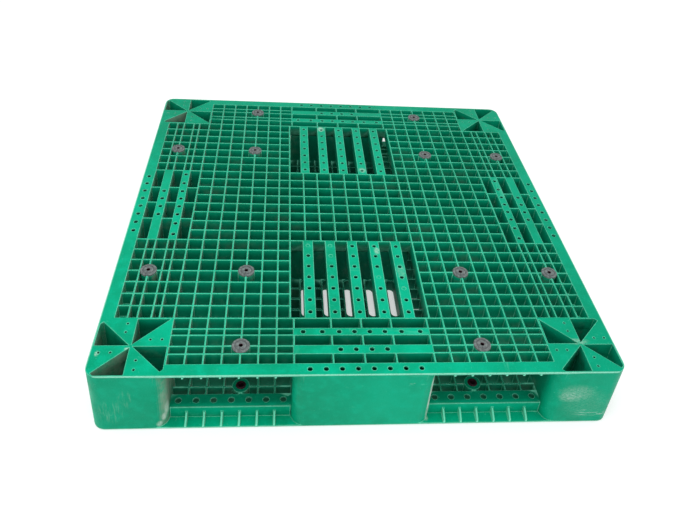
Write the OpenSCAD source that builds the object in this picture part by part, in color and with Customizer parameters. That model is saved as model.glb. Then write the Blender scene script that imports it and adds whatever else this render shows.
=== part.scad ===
// Double-faced plastic pallet with four-way fork entry and rubber anti-slip plugs.
// Z is up and the front is -Y. The origin is at the centre of the footprint, on the floor.

/* [Pallet] */
// Side of the square deck
deck_w = 1000; // [996:1:1010]
// Height between the two deck faces, without the plug heads
body_h = 146; // [140:1:170]
// Thickness of each deck
deck_t = 31; // [28:1:36]
// Radius of the four outer corners
corner_r = 25; // [10:1:27]

/* [Rib grid] */
// Spacing of the ribs over the whole deck
pitch = 33; // [32.8:0.1:33.2]
// Spacing of the ribs between the two windows
centre_pitch = 34.75; // [34.4:0.05:35]
// Thickness of a rib
rib_t = 3.2; // [2.4:0.1:3.6]
// Thickness of closed plates in the deck faces
plate_t = 3; // [2:0.1:4]
// Thickness of the outer walls
wall_t = 4; // [3:0.1:5]

/* [Edge band] */
// Inner edge of the flat rim, from the centre of the pallet
rim_in = 473; // [470:0.5:476]
// Thickness of the flange along the fork entries
flange_t = 3.5; // [2.5:0.1:4.5]
// Height of the gussets under the flange, at the wall
gusset_h = 16; // [10:1:20]
// Height of the gussets under the flange, at its outer edge
gusset_nose = 4.5; // [1:0.5:8]
// Diameter of the drain holes in the bored strip
drain_d = 12; // [8:0.5:14]

/* [Perforations] */
// Diameter of the holes in the window bars
bar_hole_d = 9; // [6:0.5:11]
// Diameter of the holes in the rim and in the side bars
rim_hole_d = 9.5; // [6:0.5:11]
// Diameter of the small holes in the corner plates
star_hole_d = 5; // [3:0.5:7]
// Depth of the dimple where a hole is blind
dimple_t = 0.8; // [0.4:0.1:1.5]

/* [Windows] */
// Width of a window bar in the upper deck
upper_bar_w = 22.5; // [20:0.5:25]
// Spacing of the window bars in the upper deck
upper_bar_pitch = 49.6; // [48:0.1:50]
// Width of a window slot in the lower deck
lower_slot_w = 20; // [18:0.5:24]
// Spacing of the window slots in the lower deck
lower_slot_pitch = 50; // [48:0.1:50]
// Length of a window slot in the lower deck
lower_slot_l = 111; // [90:1:120]

/* [Blocks] */
// Radius of the vertical edges of the blocks at the fork entries
block_r = 25; // [15:1:25]

/* [Plugs] */
// Diameter of the plug head
plug_d = 34; // [30:0.5:36]
// How far the head stands above the deck face
plug_proud = 2; // [1:0.1:3]
// Depth of the seat that the head sits in
seat_depth = 2.5; // [1:0.1:4]
// Diameter of the green boss that carries the plug
boss_d = 33; // [30:0.5:34]
// How far the boss stands past the inner face of the deck
boss_past = 4; // [1:0.5:6]
// Diameter of the bore in the boss
bore_d = 18; // [14:0.5:20]
// Radial gap between the plug and its boss
plug_gap = 0.2; // [0.1:0.05:0.4]

/* [Hidden] */
$fn = 48;
half = deck_w / 2;
mid_z = plug_proud + body_h / 2;
eps = 1;
corner_steps = 10;

// Lines of the ribs, from the centre outwards.
field_n = 11;
field_end = field_n * pitch;
centre_n = 4;
section_half = centre_n * pitch;
side_block_half = section_half + rib_t / 2;
window_half = centre_n * centre_pitch;
band_lines = [field_end, field_end + 27, field_end + 42.5, field_end + 69, field_end + 87];
rim_line = rim_in + rib_t / 2;
outer_wall = half - wall_t;
divider = 59.5;
section_cols = [-section_half, -divider, 0, divider, section_half];
closed_rows_upper = [1, 3];
closed_rows_lower = [0, 2, 4];

x_lines = concat(
    [for (i = [-field_n:-centre_n - 1]) i * pitch],
    [for (i = [-centre_n:centre_n]) i * centre_pitch],
    [for (i = [centre_n + 1:field_n]) i * pitch]);
y_lines = [for (i = [-field_n:field_n]) i * pitch];
window_rows = [for (i = [centre_n:field_n]) i * pitch];
entry_cols = [for (i = [centre_n:field_n]) i * pitch];
row_lines = concat(band_lines, [rim_line]);

// Corner stars.
block_in = field_end - rib_t / 2;
star_in = block_in + wall_t;
star_half = (outer_wall - star_in) / 2;
star_mid = (outer_wall + star_in) / 2;
inner_r = block_r / 4;

// Plugs: three in each corner of the deck.
plug_near = 7 * pitch;
plug_far = band_lines[3];
plug_spots = [[plug_near, plug_near], [plug_near, plug_far], [plug_far, plug_near]];
plug_places = [for (sy = [-1, 1]) for (sx = [-1, 1]) for (p = plug_spots) [sx * p[0], sy * p[1]]];
seat_d = plug_d + 2 * plug_gap;
stem_r = bore_d / 2 - plug_gap;
boss_end = deck_t + boss_past;

// Perforations: distances from the centre line of the edge, and rows from the centre of the pallet.
rim_hole_row = (rim_in + outer_wall) / 2 + 1.5;
rim_hole_pitch = 29.5;
blind_holes = [[-2, 0], [-1, 0], [-1, 1], [1, 3], [2, 4]];

corner_names = ["front_left", "front_right", "rear_right", "rear_left"];
side_names = ["front", "right", "rear", "left"];
plug_numbers = [1:len(plug_places)];

// A rectangle between four rib lines, drawn in by half a rib on each side.
function cell(x0, x1, y0, y1, t = rib_t) =
    [[x0 + t / 2, y0 + t / 2], [x1 - t / 2, y0 + t / 2], [x1 - t / 2, y1 - t / 2], [x0 + t / 2, y1 - t / 2]];
function turned(pts, a) =
    [for (p = pts) [p[0] * cos(a) - p[1] * sin(a), p[0] * sin(a) + p[1] * cos(a)]];
function moved(pts, v) = [for (p = pts) p + v];
function flipped(pts) = [for (p = pts) [p[0], -p[1]]];
function mirrored(pts) = [for (i = [len(pts) - 1:-1:0]) [-pts[i][0], pts[i][1]]];
function listed(item, items) = len([for (i = items) if (i == item) i]) > 0;

// Rounded outline of the deck.
function outline(h, r) =
    [for (q = [0:3]) for (i = [0:corner_steps])
        let (a = 90 * (q + i / corner_steps), c = turned([[h - r, h - r]], 90 * q)[0])
        c + r * [cos(a), sin(a)]];

// One of the eight triangles of the corner star at +X +Y, counted anticlockwise from +X.
// A tip at one of the three rounded corners is blunt, which leaves a wall inside the corner.
function star_cell(k) =
    let (
        inner = rib_t / 2 + rib_t / sqrt(2),
        back = rib_t / sqrt(2),
        r = k < 2 ? corner_r : block_r,
        reach = sqrt(2) * (half - r - star_mid) + r - wall_t,
        sum = reach * sqrt(2),
        tip = k == 4 || k == 5
            ? [[star_half, star_half - back]]
            : [[star_half, sum - star_half], [(sum + back) / 2, (sum - back) / 2]],
        tri = concat([[inner, rib_t / 2], [star_half, rib_t / 2]], tip))
    turned(k % 2 == 0 ? tri : turned(flipped(tri), 90), 90 * floor(k / 2));

function is_window(x0, x1, y0, y1) =
    abs(x0 + x1) / 2 < window_half && abs(y0 + y1) / 2 > section_half;

// The open cells: the field, the edge bands over the fork entries, the side sections and the stars.
field_cells = [for (i = [0:len(x_lines) - 2]) for (j = [0:len(y_lines) - 2])
    if (!is_window(x_lines[i], x_lines[i + 1], y_lines[j], y_lines[j + 1]))
        cell(x_lines[i], x_lines[i + 1], y_lines[j], y_lines[j + 1])];
band_cells = [for (q = [0:3]) for (side = [-1, 1]) for (i = [0:len(entry_cols) - 2]) for (j = [0:3])
    let (a = min(side * entry_cols[i], side * entry_cols[i + 1]),
        b = max(side * entry_cols[i], side * entry_cols[i + 1]))
    turned(cell(a, b, row_lines[j], row_lines[j + 1]), 90 * q)];
function section_cells(open_rows) = [for (q = [0:3]) for (i = [0:3]) for (j = open_rows)
    turned(cell(section_cols[i], section_cols[i + 1], row_lines[j], row_lines[j + 1]), 90 * q)];
function star_cells(odd) = [for (q = [0:3]) for (k = [0:3])
    turned(moved(star_cell(2 * k + odd), [star_mid, star_mid]), 90 * q)];
function slot(c, w, side) =
    let (y0 = section_half + rib_t / 2, y1 = field_end - rib_t / 2)
    [[c - w / 2, side * y0], [c + w / 2, side * y0], [c + w / 2, side * y1], [c - w / 2, side * y1]];

// A short slot with round ends, at the inner end of a window.
function round_slot(c, w, side) =
    let (
        r = w / 2,
        ends = [for (y = [section_half + 6 + r, section_half + 6 + lower_slot_l - r]) side * y],
        steps = [0:corner_steps])
    concat(
        [for (i = steps) [c, max(ends)] + r * [cos(180 * i / corner_steps), sin(180 * i / corner_steps)]],
        [for (i = steps) [c, min(ends)] - r * [cos(180 * i / corner_steps), sin(180 * i / corner_steps)]]);

// Window slots lie between the bars in the upper deck, and under the bars in the lower deck.
end_slot_w = window_half - rib_t / 2 - 2 * upper_bar_pitch - upper_bar_w / 2;
upper_slots = [for (side = [-1, 1]) for (s = [-1, 1]) each concat(
    [for (i = [0.5, 1.5]) slot(s * i * upper_bar_pitch, upper_bar_pitch - upper_bar_w, side)],
    [slot(s * (window_half - rib_t / 2 - end_slot_w / 2), end_slot_w, side)])];
lower_slots = [for (side = [-1, 1]) for (i = [-2:2]) round_slot(i * lower_slot_pitch, lower_slot_w, side)];

// Closed window bars, each as its centre, its width and its first row.
// Beyond its slots the lower deck is closed.
closed_from = 4;
upper_bars = [for (i = [-2:2]) [i * upper_bar_pitch, upper_bar_w, 0]];
lower_bar_w = lower_slot_pitch - lower_slot_w;
lower_end_bar_w = window_half - rib_t / 2 - 2 * lower_slot_pitch - lower_slot_w / 2;
lower_bars = concat(
    [for (i = [-1.5:1.5]) [i * lower_slot_pitch, lower_bar_w, 0]],
    [for (s = [-1, 1])
        [s * (2 * lower_slot_pitch + (lower_slot_w + lower_end_bar_w) / 2), lower_end_bar_w, 0]],
    [for (i = [-2:2]) [i * lower_slot_pitch, lower_slot_w + 2 * rib_t, closed_from]]);

// Hollow behind the outer wall of a side block, out to its round edge.
// It starts at the centre line or at the divider.
function rim_hollow(i) =
    let (
        y0 = rim_in + rib_t / 2,
        x0 = i * divider + rib_t / 2,
        c = [side_block_half - block_r, half - block_r],
        r = block_r - wall_t)
    i == 0
        ? [[x0, y0], [divider - rib_t / 2, y0], [divider - rib_t / 2, outer_wall], [x0, outer_wall]]
        : concat(
            [[x0, y0], [c[0] + r, y0]],
            [for (j = [0:corner_steps]) let (a = 90 * j / corner_steps) c + r * [cos(a), sin(a)]],
            [[x0, outer_wall]]);
rim_hollows = [for (i = [0, 1]) for (s = [-1, 1]) s > 0 ? rim_hollow(i) : mirrored(rim_hollow(i))];

// A flat shape with many openings.
module grid_2d(edge, cells) {
    difference() {
        polygon(edge);
        for (c = cells)
            polygon(c);
    }
}

// Everything below is drawn with the outer face of the deck at z = 0 and its inner face at -deck_t.

// Hollow under a closed plate, from the inner face up to the plate.
module under(points, top = plate_t) {
    translate([0, 0, -deck_t - eps])
        linear_extrude(deck_t + eps - top)
            polygon(points);
}

module plate_hole(x, y, d) {
    translate([x, y, -plate_t - eps])
        cylinder(d = d, h = plate_t + 2 * eps);
}

// A hole that the moulding left closed: only a shallow dimple shows.
module dimple(x, y, d) {
    translate([x, y, -dimple_t])
        cylinder(d = d, h = dimple_t + eps);
}

module on_four_sides() {
    for (q = [0:3])
        rotate(90 * q)
            children();
}

// Hollows and perforations of the window bars. Blind holes are given as bar and row.
module window_cuts(bars, blind) {
    for (side = [-1, 1])
        for (bar = [0:len(bars) - 1])
            for (j = [bars[bar][2]:len(window_rows) - 2]) {
                c = bars[bar][0];
                w = bars[bar][1] / 2 - rib_t;
                y0 = window_rows[j] + rib_t / 2;
                y1 = window_rows[j + 1] - rib_t / 2;
                under([[c - w, side * y0], [c + w, side * y0], [c + w, side * y1], [c - w, side * y1]]);
                mid = side * (y0 + y1) / 2;
                if (side < 0 && listed([bar - 2, j], blind))
                    dimple(c, mid, bar_hole_d);
                else
                    plate_hole(c, mid, bar_hole_d);
            }
}

// Hollows and perforations of the closed rows over a side block.
module section_cuts(rows, holes) {
    on_four_sides() {
        for (i = [0:3])
            for (j = rows)
                under(cell(section_cols[i], section_cols[i + 1], row_lines[j], row_lines[j + 1]));
        for (h = rim_hollows)
            under(h);
        for (s = [-1, 1])
            for (h = holes)
                plate_hole(s * h[0], h[1], rim_hole_d);
        for (s = [-1, 1])
            for (i = [0:3])
                plate_hole(s * (i + 0.5) * rim_hole_pitch, rim_hole_row, rim_hole_d);
    }
}

// Hollows and small holes of the closed plates in the corner stars.
module star_cuts(odd) {
    on_four_sides()
        translate([star_mid, star_mid, 0])
            for (k = [0:3]) {
                under(star_cell(2 * k + odd));
                for (u = [33, 54]) {
                    spot = odd == 0 ? [u, 15] : [15, u];
                    p = turned([spot], 90 * k)[0];
                    plate_hole(p[0], p[1], star_hole_d);
                }
            }
}

// What rounds the vertical edge of a block where it meets the entry: towards is 1 for a block at smaller x.
module block_edge(x, towards) {
    translate([x, half, -deck_t - eps])
        linear_extrude(deck_t + eps - flange_t)
            difference() {
                translate([towards < 0 ? -eps : -block_r, -block_r])
                    square([block_r + eps, block_r + eps]);
                translate([-towards * block_r, -block_r])
                    circle(block_r);
            }
}

// Edge of the deck over one fork entry: flange, gussets, wall, and the bored strip behind the wall.
module entry_cuts() {
    wall_out = rim_in + wall_t + 0.5;
    left = side_block_half;
    right = block_in;
    on_four_sides()
        for (side = [0, 1])
            mirror([side, 0, 0]) {
                for (i = [0:len(entry_cols) - 2]) {
                    x0 = max(entry_cols[i] + rib_t / 2, left);
                    x1 = min(entry_cols[i + 1] - rib_t / 2, right);
                    translate([x0, wall_out, -deck_t - eps])
                        cube([x1 - x0, half - wall_out + eps, deck_t + eps - flange_t]);
                    mid = (entry_cols[i] + entry_cols[i + 1]) / 2;
                    row = (band_lines[4] + rim_line) / 2;
                    translate([mid - (pitch - rib_t) / 2, band_lines[4] + rib_t / 2, plate_t - deck_t])
                        cube([pitch - rib_t, rim_in - band_lines[4] - rib_t / 2, deck_t]);
                    translate([mid, row, -deck_t - eps])
                        cylinder(d = drain_d, h = plate_t + 2 * eps);
                }
                block_edge(left, 1);
                block_edge(right, -1);
                translate([right, 0, 0])
                    rotate([90, 0, -90])
                        linear_extrude(right - left)
                            polygon([
                                [-wall_out, -flange_t - gusset_h],
                                [-half, -flange_t - gusset_nose],
                                [-half - eps, -flange_t - gusset_nose],
                                [-half - eps, -deck_t - eps],
                                [-wall_out, -deck_t - eps]]);
            }
}

// The bore and seat of each plug.
module plug_cuts() {
    for (p = plug_places)
        translate(p) {
            translate([0, 0, -boss_end - eps])
                cylinder(d = bore_d, h = boss_end + 2 * eps);
            translate([0, 0, -seat_depth])
                cylinder(d = seat_d, h = seat_depth + eps);
        }
}

module plug_bosses() {
    for (p = plug_places)
        translate([p[0], p[1], -boss_end])
            cylinder(d = boss_d, h = boss_end - seat_depth);
}

// One deck, with its outer face up.
module deck(cells, bars, closed_rows, holes, odd_closed, blind) {
    difference() {
        union() {
            translate([0, 0, -deck_t])
                linear_extrude(deck_t)
                    grid_2d(outline(half, corner_r), cells);
            plug_bosses();
        }
        window_cuts(bars, blind);
        section_cuts(closed_rows, holes);
        star_cuts(odd_closed);
        entry_cuts();
        plug_cuts();
    }
}

module upper_deck() {
    inner_row = (band_lines[1] + band_lines[2]) / 2;
    outer_row = (band_lines[3] + band_lines[4]) / 2;
    holes = concat(
        [for (x = [15, 44.6, 77.5, 114.5]) [x, inner_row]],
        [for (x = [15, 44.6]) [x, outer_row]]);
    cells = concat(field_cells, band_cells, section_cells(closed_rows_lower), star_cells(1), upper_slots);
    color("mediumseagreen")
        translate([0, 0, mid_z + body_h / 2])
            deck(cells, upper_bars, closed_rows_upper, holes, 0, blind_holes);
}

module lower_deck() {
    holes = [for (j = closed_rows_lower) for (x = [30, 95]) [x, (row_lines[j] + row_lines[j + 1]) / 2]];
    cells = concat(field_cells, band_cells, section_cells(closed_rows_upper), star_cells(0), lower_slots);
    color("mediumseagreen")
        translate([0, 0, mid_z - body_h / 2])
            mirror([0, 0, 1])
                deck(cells, lower_bars, closed_rows_lower, holes, 1, []);
}

// Rectangle with rounded corners: one radius for the corners on +Y, one for those on -Y.
function block_outline(x0, x1, y0, y1, r_out, r_in) =
    [for (q = [0:3]) for (i = [0:corner_steps])
        let (
            r = q < 2 ? r_out : r_in,
            a = 90 * (q + i / corner_steps),
            c = [q == 0 || q == 3 ? x1 - r : x0 + r, q < 2 ? y1 - r : y0 + r])
        c + r * [cos(a), sin(a)]];

module block(edge, cells) {
    color("seagreen")
        translate([0, 0, mid_z - body_h / 2 + deck_t])
            linear_extrude(body_h - 2 * deck_t)
                grid_2d(edge, cells);
}

module centre_block() {
    hx = window_half + rib_t / 2;
    hy = section_half + rib_t / 2;
    cols = [for (i = [-centre_n:centre_n]) i * centre_pitch];
    rows = [for (i = [-centre_n:centre_n]) i * pitch];
    block(
        block_outline(-hx, hx, -hy, hy, block_r, block_r),
        [for (i = [0:2 * centre_n - 1]) for (j = [0:2 * centre_n - 1])
            let (corner = (i == 0 || i == 2 * centre_n - 1) && (j == 0 || j == 2 * centre_n - 1))
            if (!corner) cell(cols[i], cols[i + 1], rows[j], rows[j + 1])]);
}

// Side block on the rear edge, turned by quarter turns.
module side_block(quarter) {
    rows = concat([band_lines[0] + wall_t - rib_t], [for (i = [1:4]) band_lines[i]], [rim_line]);
    cells = concat(
        [for (i = [0:3]) for (j = [0:4]) cell(section_cols[i], section_cols[i + 1], rows[j], rows[j + 1])],
        rim_hollows);
    rotate(90 * quarter)
        block(block_outline(-side_block_half, side_block_half, block_in, half, block_r, inner_r), cells);
}

// Corner block at +X +Y, turned by quarter turns.
module corner_block(quarter) {
    edge = [for (q = [0:3]) for (i = [0:corner_steps])
        let (
            r = q == 0 ? corner_r : q == 2 ? inner_r : block_r,
            a = 90 * (q + i / corner_steps),
            c = [q == 0 || q == 3 ? half - r : block_in + r, q < 2 ? half - r : block_in + r])
        c + r * [cos(a), sin(a)]];
    rotate(90 * quarter)
        block(edge, [for (k = [0:7]) moved(star_cell(k), [star_mid, star_mid])]);
}

// Rubber plug with its head up: head with a ring groove and an eye, hollow stem, and a barb past the boss.
module plug() {
    head_t = plug_proud + seat_depth;
    r = plug_d / 2;
    round_r = 1.2;
    groove_t = 0.8;
    eye_r = 3.5;
    core_r = stem_r - 2.6;
    barb_r = bore_d / 2 + 0.8;
    barb_h = 3;
    barb_z = -boss_end - plug_gap;
    color("dimgray")
        rotate_extrude()
            difference() {
                union() {
                    translate([0, -seat_depth + plug_gap])
                        square([r, head_t - plug_gap - round_r]);
                    translate([0, plug_proud - round_r - eps])
                        square([r - round_r, round_r + eps]);
                    translate([r - round_r, plug_proud - round_r])
                        circle(round_r);
                    translate([0, barb_z - eps])
                        square([stem_r, eps - barb_z - seat_depth + plug_gap + eps]);
                    polygon([
                        [0, barb_z - barb_h], [stem_r - 1, barb_z - barb_h],
                        [barb_r, barb_z], [0, barb_z]]);
                }
                translate([0.6 * r, plug_proud - groove_t])
                    square([0.12 * r, groove_t + eps]);
                translate([0, -seat_depth - eps])
                    square([eye_r, head_t + 2 * eps]);
                translate([0, barb_z - barb_h - eps])
                    square([core_r, barb_h - barb_z - seat_depth + eps]);
            }
}

module top_plug(i) {
    p = plug_places[i - 1];
    translate([p[0], p[1], mid_z + body_h / 2])
        plug();
}

module bottom_plug(i) {
    p = plug_places[i - 1];
    translate([p[0], p[1], mid_z - body_h / 2])
        mirror([0, 0, 1])
            plug();
}

upper_deck();
lower_deck();
centre_block();
for (i = [0:3]) corner_block(i + 2);
for (i = [0:3]) side_block(i + 2);
for (i = plug_numbers) top_plug(i);
for (i = plug_numbers) bottom_plug(i);
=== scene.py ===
"""Plastic pallet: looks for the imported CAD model. Units are metres, Z is up, and the front is -Y."""

import math

import bmesh
import bpy
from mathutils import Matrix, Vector, noise


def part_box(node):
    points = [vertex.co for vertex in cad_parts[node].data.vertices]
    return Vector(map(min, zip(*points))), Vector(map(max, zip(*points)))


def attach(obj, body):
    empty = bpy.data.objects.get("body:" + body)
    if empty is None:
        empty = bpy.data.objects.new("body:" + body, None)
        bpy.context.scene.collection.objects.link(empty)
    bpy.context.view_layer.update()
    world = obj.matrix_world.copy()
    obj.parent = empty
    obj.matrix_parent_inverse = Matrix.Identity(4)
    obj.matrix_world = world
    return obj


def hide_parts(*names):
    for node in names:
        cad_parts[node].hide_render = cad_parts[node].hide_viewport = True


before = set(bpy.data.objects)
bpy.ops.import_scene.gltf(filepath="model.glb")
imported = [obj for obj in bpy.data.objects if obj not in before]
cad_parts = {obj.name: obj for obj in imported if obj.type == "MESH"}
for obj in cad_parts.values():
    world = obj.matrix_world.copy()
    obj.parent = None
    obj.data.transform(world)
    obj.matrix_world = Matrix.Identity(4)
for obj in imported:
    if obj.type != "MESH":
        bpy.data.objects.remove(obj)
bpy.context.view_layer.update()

MM = 0.001
PLUG_COUNT = 12
DECKS = ["upper_deck", "lower_deck"]
BLOCKS = [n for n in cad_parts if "block" in n]

# Edges of the mouldings: edges sharper than the angle and longer than SHORT_EDGE are rounded over.
WELD_GAP = 1e-5
EDGE_ROUND = 0.0007
EDGE_ANGLE = math.radians(35)
SHORT_EDGE = 0.0025
LEVEL_GAP = 0.0004

# Heights of the welded seams, of the flanges' inner edges, of the deck faces and of mid-height.
SEAMS = (0.033, 0.117)
FLANGE_EDGES = (0.0055, 0.1445)
DECK_FACES = (0.002, 0.148)
MID_HEIGHT = 0.075

# Distances from the centre: the fork channels, the outermost edge and the outer face of the gussets' wall.
FORK_SPAN = (0.134, 0.361)
OUTERMOST = 0.4985
GUSSET_WALL = 0.4795

PLUG_SEGMENTS = 56
FLOOR_HALF = 30.0

# Rubbed places, each as its centre, its size along each axis, its grain and how strong it is.
SCUFFS = [
    ((0.412, -0.500, 0.088), (0.044, 0.02, 0.030), "fine", 0.34),
    ((0.400, -0.500, 0.078), (0.026, 0.02, 0.018), "fine", 0.30),
    ((0.455, -0.500, 0.030), (0.042, 0.02, 0.014), "strokes", 0.50),
    ((0.478, -0.500, 0.020), (0.022, 0.02, 0.012), "strokes", 0.50),
    ((0.440, -0.500, 0.055), (0.060, 0.02, 0.055), "fine", 0.12),
    ((0.088, -0.500, 0.121), (0.007, 0.01, 0.004), "strokes", 0.80),
    ((-0.462, -0.500, 0.052), (0.030, 0.02, 0.040), "upright", 0.16),
    ((-0.433, -0.500, 0.086), (0.018, 0.02, 0.030), "upright", 0.14),
    ((-0.487, -0.448, 0.148), (0.005, 0.008, 0.004), "fine", 0.85),
    ((-0.436, -0.438, 0.148), (0.006, 0.006, 0.004), "fine", 0.80),
    ((0.054, -0.164, 0.148), (0.008, 0.014, 0.004), "fine", 0.75),
    ((-0.051, 0.349, 0.148), (0.012, 0.016, 0.004), "fine", 0.95),
    ((0.050, 0.150, 0.148), (0.012, 0.014, 0.004), "fine", 0.60),
    ((0.100, -0.230, 0.148), (0.012, 0.030, 0.004), "fine", 0.30),
    ((0.425, -0.425, 0.148), (0.030, 0.010, 0.004), "fine", 0.40),
]

# Scraped edges of the blocks, each as its centre, its size along each axis, how strong it is and its tint.
SCRAPED_EDGES = [
    ((0.1300, -0.4882, 0.100), (0.0075, 0.0120, 0.042), 0.95, "chalk"),
    ((0.1300, -0.4882, 0.070), (0.0070, 0.0120, 0.045), 0.95, "chalk"),
    ((0.1300, -0.4882, 0.034), (0.0075, 0.0120, 0.045), 0.95, "chalk"),
    ((-0.3615, -0.4660, 0.100), (0.0055, 0.0260, 0.038), 0.62, "dust"),
    ((-0.3620, -0.4740, 0.070), (0.0060, 0.0200, 0.036), 0.55, "dust"),
    ((-0.3640, -0.4830, 0.044), (0.0060, 0.0140, 0.022), 0.62, "chalk"),
    ((-0.3690, -0.4900, 0.028), (0.0060, 0.0100, 0.013), 0.75, "chalk"),
    ((-0.3770, -0.4960, 0.014), (0.0080, 0.0080, 0.010), 0.60, "chalk"),
]


# ---------------------------------------------------------------- node helpers

class Shader:
    """A material's node tree, with short calls for the nodes that the recipes below use."""

    def __init__(self, name):
        self.material = bpy.data.materials.new(name)
        self.material.use_nodes = True
        self.tree = self.material.node_tree
        self.bsdf = self.tree.nodes["Principled BSDF"]
        self.place = self.add("ShaderNodeTexCoord").outputs["Object"]

    def add(self, kind, **settings):
        node = self.tree.nodes.new(kind)
        for key, value in settings.items():
            setattr(node, key, value)
        return node

    def feed(self, socket, value):
        if isinstance(value, bpy.types.NodeSocket):
            self.tree.links.new(value, socket)
        else:
            socket.default_value = value

    def math(self, operation, a, b=0.0):
        node = self.add("ShaderNodeMath", operation=operation)
        self.feed(node.inputs[0], a)
        self.feed(node.inputs[1], b)
        return node.outputs[0]

    def vector(self, operation, a, b, output="Vector"):
        node = self.add("ShaderNodeVectorMath", operation=operation)
        self.feed(node.inputs[0], a)
        self.feed(node.inputs[1], b)
        return node.outputs[output]

    def noise(self, scale, detail=3.0, rough=0.5, stretch=(1, 1, 1), shift=(0, 0, 0)):
        """Noise in the frame's metres: scale is bumps per metre, stretched along the axes."""
        place = self.vector("MULTIPLY", self.vector("ADD", self.place, shift), stretch)
        node = self.add("ShaderNodeTexNoise", noise_dimensions="3D")
        self.feed(node.inputs["Vector"], place)
        node.inputs["Scale"].default_value = scale
        node.inputs["Detail"].default_value = detail
        node.inputs["Roughness"].default_value = rough
        return node.outputs["Fac"]

    def ramp(self, value, low, high, to_low=0.0, to_high=1.0):
        """Maps low..high to to_low..to_high smoothly, held at both ends."""
        node = self.add("ShaderNodeMapRange", interpolation_type="SMOOTHSTEP")
        self.feed(node.inputs["Value"], value)
        limits = {"From Min": low, "From Max": high, "To Min": to_low, "To Max": to_high}
        for socket, number in limits.items():
            node.inputs[socket].default_value = number
        return node.outputs["Result"]

    def mix(self, share, a, b):
        node = self.add("ShaderNodeMix", data_type="RGBA")
        self.feed(node.inputs[0], share)
        self.feed(node.inputs[6], a)
        self.feed(node.inputs[7], b)
        return node.outputs[2]

    def length(self, vector):
        node = self.add("ShaderNodeVectorMath", operation="LENGTH")
        self.feed(node.inputs[0], vector)
        return node.outputs["Value"]

    def axis(self, vector, index):
        node = self.add("ShaderNodeSeparateXYZ")
        self.feed(node.inputs[0], vector)
        return node.outputs[index]

    def edges(self, radius, low, high):
        """1 along the edges of the mesh, 0 on its faces."""
        soft = self.add("ShaderNodeBevel", samples=4)
        soft.inputs["Radius"].default_value = radius
        hard = self.add("ShaderNodeNewGeometry").outputs["True Normal"]
        turn = self.vector("DOT_PRODUCT", soft.outputs["Normal"], hard, "Value")
        return self.ramp(turn, high, low)

    def near(self, centre, size):
        """1 at a place on the object, falling to 0 at size from it along each axis."""
        offset = self.vector("SUBTRACT", self.place, centre)
        return self.ramp(self.length(self.vector("DIVIDE", offset, size)), 1.0, 0.35)

    def span(self, value, low, high):
        """1 where value lies between low and high."""
        above = self.math("GREATER_THAN", value, low)
        return self.math("MULTIPLY", above, self.math("LESS_THAN", value, high))

    def heights(self, levels, reach):
        """1 close to any of the heights given."""
        z = self.axis(self.place, 2)
        found = None
        for level in levels:
            away = self.math("ABSOLUTE", self.math("SUBTRACT", z, level))
            here = self.math("LESS_THAN", away, reach)
            found = here if found is None else self.math("MAXIMUM", found, here)
        return found

    def reach(self):
        """Half the side of the square ring, about the centre of the pallet, that a point lies on."""
        along_x = self.math("ABSOLUTE", self.axis(self.place, 0))
        along_y = self.math("ABSOLUTE", self.axis(self.place, 1))
        return self.math("MAXIMUM", along_x, along_y)

    def over_blocks(self):
        """1 where a block stands between the decks, 0 over the fork channels."""
        open_x = self.span(self.math("ABSOLUTE", self.axis(self.place, 0)), *FORK_SPAN)
        open_y = self.span(self.math("ABSOLUTE", self.axis(self.place, 1)), *FORK_SPAN)
        return self.math("SUBTRACT", 1.0, self.math("MAXIMUM", open_x, open_y))

    def off_seams(self):
        """0 at the welded seams between the decks and the blocks, which don't show, and 1 elsewhere."""
        on_seam = self.math("MULTIPLY", self.heights(SEAMS, 0.0025), self.over_blocks())
        return self.math("SUBTRACT", 1.0, on_seam)

    def rim_edges(self):
        """1 along the outer edges of the deck faces, and less along the lips over the fork entries."""
        reach = self.reach()
        outer = self.math("MULTIPLY", self.ramp(reach, 0.4976, 0.4986), self.heights(DECK_FACES, 0.0021))
        over_fork = self.math("SUBTRACT", 1.0, self.over_blocks())
        lip = self.math("MULTIPLY", self.span(reach, 0.4752, 0.4785), self.heights(SEAMS, 0.0020))
        lip = self.math("MULTIPLY", self.math("MULTIPLY", lip, over_fork), 0.25)
        return self.math("MAXIMUM", outer, lip)

    def gussets(self):
        """1 on the gussets under the flanges over the fork entries."""
        outside = self.math("GREATER_THAN", self.reach(), GUSSET_WALL)
        from_middle = self.math("SUBTRACT", self.axis(self.place, 2), MID_HEIGHT)
        between = self.span(self.math("ABSOLUTE", from_middle), 0.0425, 0.0692)
        over_fork = self.math("SUBTRACT", 1.0, self.over_blocks())
        return self.math("MULTIPLY", self.math("MULTIPLY", outside, between), over_fork)

    def bump(self, layers):
        """Chains height layers, each as (height, distance in metres, strength)."""
        normal = None
        for height, distance, strength in layers:
            node = self.add("ShaderNodeBump")
            node.inputs["Strength"].default_value = strength
            node.inputs["Distance"].default_value = distance
            self.feed(node.inputs["Height"], height)
            if normal:
                self.feed(node.inputs["Normal"], normal)
            normal = node.outputs["Normal"]
        self.feed(self.bsdf.inputs["Normal"], normal)


def linear(red, green, blue):
    """A screen colour, 0 to 255, as the linear colour that a shader takes."""
    def one(c):
        c = c / 255
        return c / 12.92 if c <= 0.04045 else ((c + 0.055) / 1.055) ** 2.4
    return (one(red), one(green), one(blue), 1.0)


# ---------------------------------------------------------------- materials

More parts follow.
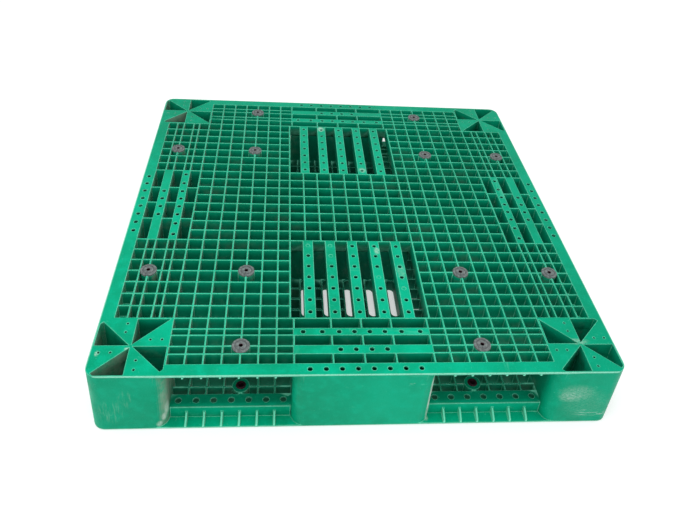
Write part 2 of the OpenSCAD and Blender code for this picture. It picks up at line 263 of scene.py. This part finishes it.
def add_scuffs(s, colour):
    """Pale rubbed places and scraped edges, where forks and loads have marked the plastic."""
    chalk = linear(206, 222, 210)
    tints = {"chalk": chalk, "dust": linear(150, 152, 140)}
    fine = s.ramp(s.noise(330.0, 5.0, 0.85, stretch=(0.45, 1.0, 1.0)), 0.36, 0.70)
    strokes = s.ramp(s.noise(90.0, 5.0, 0.8, stretch=(0.25, 1.0, 1.8), shift=(4, 1, 2)), 0.50, 0.62)
    upright = s.ramp(s.noise(150.0, 5.0, 0.8, stretch=(1.2, 1.0, 0.12), shift=(1, 7, 3)), 0.46, 0.70)
    grains = {"fine": fine, "strokes": strokes, "upright": upright}
    for centre, size, grain, share in SCUFFS:
        mask = s.math("MULTIPLY", s.near(centre, size), grains[grain])
        colour = s.mix(s.math("MULTIPLY", mask, share), colour, chalk)
    broken = s.ramp(s.noise(190.0, 5.0, 0.8, stretch=(1, 1, 0.30)), 0.32, 0.60, 0.25, 1.0)
    for centre, size, share, tint in SCRAPED_EDGES:
        mask = s.math("MULTIPLY", s.near(centre, size), broken)
        colour = s.mix(s.math("MULTIPLY", mask, share), colour, tints[tint])
    return colour


def green_plastic(name):
    """Moulded green polyethylene: mottled colour, pale edges of wear and painted highlight, grey dust,
    scuffs, fine grain, and painted shade and painted light.
    """
    s = Shader(name)
    deep = linear(0, 146, 107)
    fresh = linear(0, 170, 130)
    bright = linear(2, 184, 145)
    mint = linear(136, 240, 206)
    film_and_lit_grey = linear(150, 158, 142)

    colour = s.mix(s.ramp(s.noise(4.5, 4.0, 0.55), 0.35, 0.65), deep, fresh)
    colour = s.mix(s.ramp(s.noise(42.0, 5.0, 0.6), 0.42, 0.72, 0.0, 0.45), colour, bright)

    # Painted shade: the green is made duller towards the right and the rear, and on the left of the front
    # faces.
    normal = s.add("ShaderNodeNewGeometry").outputs["True Normal"]
    to_right = s.ramp(s.axis(s.place, 0), 0.10, 0.48)
    to_rear = s.ramp(s.axis(s.place, 1), -0.05, 0.45)
    faces_front = s.ramp(s.axis(normal, 1), -0.6, -0.9)
    front = s.math("MULTIPLY", faces_front, s.ramp(s.axis(s.place, 0), 0.30, -0.40, 0.3, 0.75))
    painted_shade = s.math("MAXIMUM", s.math("MAXIMUM", to_right, to_rear), front)
    colour = s.mix(s.math("MULTIPLY", painted_shade, 0.42), colour, linear(0, 124, 92))

    speckle = s.noise(420.0, 3.0, 0.6, shift=(0.3, 0.9, 0.1))
    colour = s.mix(s.ramp(speckle, 0.55, 0.75, 0.0, 0.22), colour, linear(60, 205, 168))
    colour = s.mix(s.ramp(speckle, 0.44, 0.28, 0.0, 0.30), colour, linear(0, 120, 88))

    # Painted shade: the green is also made darker below the top face, and most of all in the middle of the
    # pallet, deep in the cells.
    reach = s.reach()
    within = s.math("MULTIPLY", s.ramp(reach, 0.474, 0.466), s.ramp(s.axis(s.place, 2), 0.1476, 0.128))
    colour = s.mix(s.math("MULTIPLY", within, 0.42), colour, linear(0, 88, 66))
    core_painted_shade = s.math("MULTIPLY", s.ramp(reach, 0.366, 0.358), s.ramp(s.axis(s.place, 2), 0.122, 0.112))
    colour = s.mix(s.math("MULTIPLY", core_painted_shade, 0.50), colour, linear(0, 58, 44))

    # A grey film clings to the upright walls of the cells.
    upright = s.ramp(s.math("ABSOLUTE", s.axis(normal, 2)), 0.5, 0.1)
    patches = s.ramp(s.noise(16.0, 5.0, 0.7, shift=(3.1, 1.7, 0.4)), 0.50, 0.70)
    settled = s.math("MULTIPLY", s.math("MULTIPLY", upright, patches), within)
    colour = s.mix(s.math("MULTIPLY", settled, 0.16), colour, film_and_lit_grey)
    # Painted light: on the left, the upright walls that face +X are painted paler grey in patches, as the
    # side that the light falls on.
    facing = s.ramp(s.axis(normal, 0), 0.30, 0.80)
    left = s.ramp(s.axis(s.place, 0), -0.12, -0.30)
    cloud = s.ramp(s.noise(30.0, 5.0, 0.7, shift=(5.2, 0.7, 2.4)), 0.34, 0.62, 0.15, 1.0)
    shade = s.math("MULTIPLY", s.math("MULTIPLY", facing, left), cloud)
    colour = s.mix(s.math("MULTIPLY", shade, 0.62), colour, film_and_lit_grey)

    # Long scratches and rubbed spots on the faces.
    long_x = s.ramp(s.noise(30.0, 6.0, 0.7, stretch=(0.12, 1.0, 1.0)), 0.63, 0.74)
    long_y = s.ramp(s.noise(30.0, 6.0, 0.7, stretch=(1.0, 0.12, 1.0), shift=(2, 5, 1)), 0.63, 0.74)
    specks = s.ramp(s.noise(260.0, 2.0, 0.5), 0.68, 0.76)
    scratches = s.math("MAXIMUM", long_x, long_y)
    marks = s.math("MAXIMUM", scratches, specks)
    colour = s.mix(s.math("MULTIPLY", marks, 0.15), colour, mint)
    colour = add_scuffs(s, colour)

    # Edges are painted paler, partly as wear and partly as a painted highlight. The gussets are painted
    # paler as a painted highlight, and the outer edges of the rim most of all, as wear and painted
    # highlight.
    edge = s.math("MULTIPLY", s.edges(0.0022, 0.88, 0.998), s.off_seams())
    broken = s.ramp(s.noise(55.0, 4.0, 0.6, shift=(0.7, 0.2, 0.9)), 0.25, 0.6, 0.55, 1.0)
    colour = s.mix(s.math("MULTIPLY", s.math("MULTIPLY", edge, broken), 0.68), colour, mint)
    colour = s.mix(s.math("MULTIPLY", s.gussets(), 0.55), colour, mint)
    rim_wear_and_highlight = s.math("MULTIPLY", s.ramp(speckle, 0.25, 0.55, 0.35, 1.0), s.rim_edges())
    colour = s.mix(s.math("MULTIPLY", rim_wear_and_highlight, 0.40), colour, linear(190, 245, 225))
    s.feed(s.bsdf.inputs["Base Color"], colour)

    gloss = s.ramp(s.noise(18.0, 4.0, 0.6, shift=(1, 2, 3)), 0.3, 0.7, 0.34, 0.52)
    s.feed(s.bsdf.inputs["Roughness"], s.math("ADD", gloss, s.math("MULTIPLY", edge, 0.12)))
    s.bsdf.inputs["Specular IOR Level"].default_value = 0.09
    s.bsdf.inputs["Specular Tint"].default_value = (0.25, 1.0, 0.85, 1)
    s.bump([
        (s.noise(9.0, 2.0), 0.0012, 0.35),
        (s.noise(900.0, 3.0, 0.6), 0.00012, 0.5),
        (scratches, 0.0001, 0.4),
    ])
    return s.material


def rubber():
    """Grey anti-slip rubber, dusty on its faces, paler along its rim as wear and painted highlight, with a
    dark red-brown bore that is partly painted shade.
    """
    s = Shader("plug_rubber")
    blotch = s.ramp(s.noise(170.0, 5.0, 0.65), 0.35, 0.66)
    colour = s.mix(blotch, linear(66, 72, 74), linear(118, 128, 126))
    grit = s.ramp(s.noise(1300.0, 2.0, 0.5), 0.56, 0.72, 0.0, 0.55)
    colour = s.mix(grit, colour, linear(160, 164, 160))
    # Painted highlight and wear: the rim of the plug is painted paler.
    edge = s.edges(0.0012, 0.85, 0.99)
    colour = s.mix(s.math("MULTIPLY", edge, 0.50), colour, linear(182, 184, 182))
    radius = s.length(s.vector("MULTIPLY", s.place, (1, 1, 0)))
    groove = s.math("MULTIPLY", s.span(radius, 0.0099, 0.0122), 0.50)
    colour = s.mix(groove, colour, linear(34, 36, 38))
    # The bore is painted dark red-brown: the rubber's own tinge, darkened as painted shade deep in the
    # hole.
    depth = s.math("ABSOLUTE", s.axis(s.place, 2))
    bore = s.math("MAXIMUM", s.ramp(radius, 0.0046, 0.0036), s.ramp(depth, 0.0042, 0.0050))
    colour = s.mix(bore, colour, linear(46, 16, 27))
    s.feed(s.bsdf.inputs["Base Color"], colour)
    s.feed(s.bsdf.inputs["Roughness"], s.ramp(blotch, 0.0, 1.0, 0.62, 0.82))
    s.bsdf.inputs["Specular IOR Level"].default_value = 0.2
    s.bump([(s.noise(700.0, 4.0, 0.7), 0.0003, 0.6)])
    return s.material


def floor_paint():
    """Plain pale floor, the same all over, with an even glow that keeps it white."""
    s = Shader("studio_floor")
    s.bsdf.inputs["Base Color"].default_value = (0.60, 0.60, 0.60, 1)
    s.bsdf.inputs["Emission Color"].default_value = (1, 1, 1, 1)
    s.bsdf.inputs["Emission Strength"].default_value = 0.45
    s.feed(s.bsdf.inputs["Roughness"], s.ramp(s.noise(3.0), 0.3, 0.7, 0.75, 0.9))
    return s.material


# ---------------------------------------------------------------- the green mouldings

def edge_group(name, round_over):
    """Geometry nodes that drop the imported normals, shade smooth, and say which edges are rounded over."""
    tree = bpy.data.node_groups.new(name, "GeometryNodeTree")
    for way in ("INPUT", "OUTPUT"):
        tree.interface.new_socket("Geometry", in_out=way, socket_type="NodeSocketGeometry")

    def add(kind, feeds=(), **settings):
        node = tree.nodes.new(kind)
        for key, value in settings.items():
            setattr(node, key, value)
        for socket, value in feeds:
            if isinstance(value, bpy.types.NodeSocket):
                tree.links.new(value, node.inputs[socket])
            else:
                node.inputs[socket].default_value = value
        return node

    def number(operation, a, b=0.0):
        return add("ShaderNodeMath", [(0, a), (1, b)], operation=operation).outputs[0]

    def at_heights(levels):
        found = 0.0
        for level in levels:
            away = number("ABSOLUTE", number("SUBTRACT", z, level))
            found = number("MAXIMUM", number("LESS_THAN", away, LEVEL_GAP), found)
        return found

    def shaded(geometry, domain, smooth, feeds=()):
        wanted = [("Geometry", geometry), ("Shade Smooth", smooth), *feeds]
        return add("GeometryNodeSetShadeSmooth", wanted, domain=domain).outputs[0]

    angle = add("GeometryNodeInputMeshEdgeAngle").outputs["Unsigned Angle"]
    sharp = number("GREATER_THAN", angle, EDGE_ANGLE)
    x, y, z = add("ShaderNodeSeparateXYZ", [(0, add("GeometryNodeInputPosition").outputs[0])]).outputs
    rounded = 0.0
    if round_over:
        ends = add("GeometryNodeInputMeshEdgeVertices").outputs
        both = [(0, ends["Position 1"]), (1, ends["Position 2"])]
        gap = add("ShaderNodeVectorMath", both, operation="DISTANCE").outputs["Value"]
        long_enough = number("GREATER_THAN", gap, SHORT_EDGE)

        # The seams with the blocks stay sharp, but not the same edges over the fork channels.
        seam = at_heights(SEAMS)
        for side in (x, y):
            away = number("ABSOLUTE", side)
            past = number("GREATER_THAN", away, FORK_SPAN[0])
            over_fork = number("MULTIPLY", past, number("LESS_THAN", away, FORK_SPAN[1]))
            seam = number("MULTIPLY", seam, number("SUBTRACT", 1.0, over_fork))

        # The flanges' inner edges stay sharp too: rounded, they push corners out of the CAD box.
        furthest = number("MAXIMUM", number("ABSOLUTE", x), number("ABSOLUTE", y))
        flange = number("MULTIPLY", at_heights(FLANGE_EDGES), number("GREATER_THAN", furthest, OUTERMOST))
        free = number("SUBTRACT", 1.0, number("MAXIMUM", seam, flange))
        rounded = number("MULTIPLY", number("MULTIPLY", sharp, long_enough), free)
    hard = number("SUBTRACT", sharp, rounded)

    start = add("NodeGroupInput").outputs[0]
    plain = add("GeometryNodeRemoveAttribute", [("Geometry", start), ("Name", "custom_normal")]).outputs[0]
    soft = shaded(shaded(plain, "FACE", True), "EDGE", True)
    edges = shaded(soft, "EDGE", False, [("Selection", hard)])
    marked = add(
        "GeometryNodeStoreNamedAttribute",
        [("Geometry", edges), ("Name", "bevel_weight_edge"), ("Value", rounded)],
        data_type="FLOAT",
        domain="EDGE",
    ).outputs[0]
    add("NodeGroupOutput", [(0, marked)])
    return tree


def round_edges(node, group, round_over):
    """Welds the CAD mesh, rounds its edges and evens its shading, all as modifiers."""
    weld = node.modifiers.new("weld", "WELD")
    weld.merge_threshold = WELD_GAP
    node.modifiers.new("mark_edges", "NODES").node_group = group
    if round_over:
        bevel = node.modifiers.new("round_edges", "BEVEL")
        bevel.width = EDGE_ROUND
        bevel.segments = 1
        bevel.limit_method = "WEIGHT"
        bevel.use_clamp_overlap = False
        bevel.face_strength_mode = "FSTR_AFFECTED"
    even = node.modifiers.new("even_shading", "WEIGHTED_NORMAL")
    even.mode = "FACE_AREA"
    even.weight = 100
    even.keep_sharp = True
    even.use_face_influence = round_over


def dress(node, material):
    node.data.materials.clear()
    node.data.materials.append(material)


deck_plastic = green_plastic("deck_plastic")
block_plastic = green_plastic("block_plastic")
deck_edges = edge_group("deck_edges", True)
block_edges = edge_group("block_edges", False)
for name in DECKS:
    round_edges(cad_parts[name], deck_edges, True)
    dress(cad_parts[name], deck_plastic)
for name in BLOCKS:
    round_edges(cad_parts[name], block_edges, False)
    dress(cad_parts[name], block_plastic)


# ---------------------------------------------------------------- the rubber plugs

def plug_profile(height, head_r):
    """Radius and height from its top, in millimetres, round the plug's section from the foot of its eye."""
    return [
        (3.5, -4.5), (3.5, -0.6), (4.1, 0.0), (6.0, 0.0), (9.6, -0.05),
        (10.1, -0.35), (10.5, -0.9), (11.6, -0.9), (12.0, -0.35),
        (12.5, -0.02), (head_r - 1.6, 0.0), (head_r - 0.7, -0.25),
        (head_r - 0.15, -0.8), (head_r, -1.6), (head_r, -3.8), (head_r - 0.4, -4.2),
        (9.4, -4.3), (8.8, -4.8), (8.8, -36.9),
        (9.8, -37.2), (9.7, -37.7), (7.9, 0.1 - height),
        (7.4, -height), (6.6, -height), (6.2, 0.4 - height),
        (6.2, -5.0), (5.7, -4.5),
    ]


def make_plug(node_name, up):
    """A turned rubber plug in the place of its CAD node, with a slightly uneven rim."""
    low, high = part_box(node_name)
    centre = Vector(((low[0] + high[0]) / 2, (low[1] + high[1]) / 2, high[2] if up > 0 else low[2]))
    head_r = (high[0] - low[0]) / 2
    height = high[2] - low[2]
    mesh = bpy.data.meshes.new("rubber_" + node_name)
    build = bmesh.new()
    rings = []
    for radius, depth in plug_profile(height / MM, head_r / MM):
        radius *= MM
        depth *= MM
        ring = []
        for i in range(PLUG_SEGMENTS):
            angle = 2 * math.pi * i / PLUG_SEGMENTS
            out = Vector((math.cos(angle), math.sin(angle), 0))
            wear = noise.noise(centre * 40 + out * 2.2 + Vector((0, 0, depth * 300)))
            fine = noise.noise(centre * 90 + out * 7.0)
            r = radius - max(0.0, 0.0009 * wear + 0.0004 * fine) * (radius / head_r) ** 2
            drop = 0.0005 * max(0.0, fine) * (radius / head_r) if depth > -0.002 else 0.0
            ring.append(build.verts.new((out.x * r, out.y * r, (depth - drop) * up)))
        rings.append(ring)
    for a, b in zip(rings, rings[1:] + rings[:1]):
        for i in range(PLUG_SEGMENTS):
            j = (i + 1) % PLUG_SEGMENTS
            build.faces.new((a[i], a[j], b[j], b[i]))
    bmesh.ops.recalc_face_normals(build, faces=build.faces)
    for face in build.faces:
        face.smooth = True
    build.to_mesh(mesh)
    build.free()
    plug = bpy.data.objects.new("rubber_" + node_name, mesh)
    bpy.context.scene.collection.objects.link(plug)
    plug.location = centre
    mesh.materials.append(plug_rubber)
    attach(plug, "root")
    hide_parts(node_name)


plug_rubber = rubber()
for number in range(1, PLUG_COUNT + 1):
    make_plug(f"top_plug_{number}", 1)
    make_plug(f"bottom_plug_{number}", -1)


# ---------------------------------------------------------------- floor, light and camera

def make_floor():
    mesh = bpy.data.meshes.new("floor")
    corners = [(x * FLOOR_HALF, y * FLOOR_HALF, 0) for x, y in ((-1, -1), (1, -1), (1, 1), (-1, 1))]
    mesh.from_pydata(corners, [], [(0, 1, 2, 3)])
    mesh.materials.append(floor_paint())
    floor = bpy.data.objects.new("floor", mesh)
    bpy.context.scene.collection.objects.link(floor)


def make_light(name, place, aim, size, power):
    light = bpy.data.lights.new(name, "AREA")
    light.shape = "DISK"
    light.size = size
    light.energy = power
    lamp = bpy.data.objects.new(name, light)
    bpy.context.scene.collection.objects.link(lamp)
    lamp.location = place
    lamp.rotation_euler = (Vector(aim) - Vector(place)).to_track_quat("-Z", "Y").to_euler()


def make_world():
    world = bpy.data.worlds.new("studio")
    world.use_nodes = True
    background = world.node_tree.nodes["Background"]
    background.inputs["Color"].default_value = (1, 1, 1, 1)
    background.inputs["Strength"].default_value = 0.85
    bpy.context.scene.world = world


def make_camera():
    data = bpy.data.cameras.new("camera")
    data.sensor_width = 36.0
    data.lens = 35.62
    data.shift_x = -0.0045
    data.shift_y = -0.181
    data.clip_end = 100
    camera = bpy.data.objects.new("camera", data)
    bpy.context.scene.collection.objects.link(camera)
    camera.location = (-0.1778, -1.3260, 1.1712)
    camera.rotation_euler = (math.radians(58.234), math.radians(-4.736), math.radians(-4.503))
    bpy.context.scene.camera = camera


make_floor()
make_world()
make_light("key", (-0.45, -1.0, 3.1), (0, 0, 0.1), 2.2, 49)
make_camera()
bpy.context.scene.view_settings.view_transform = "Standard"
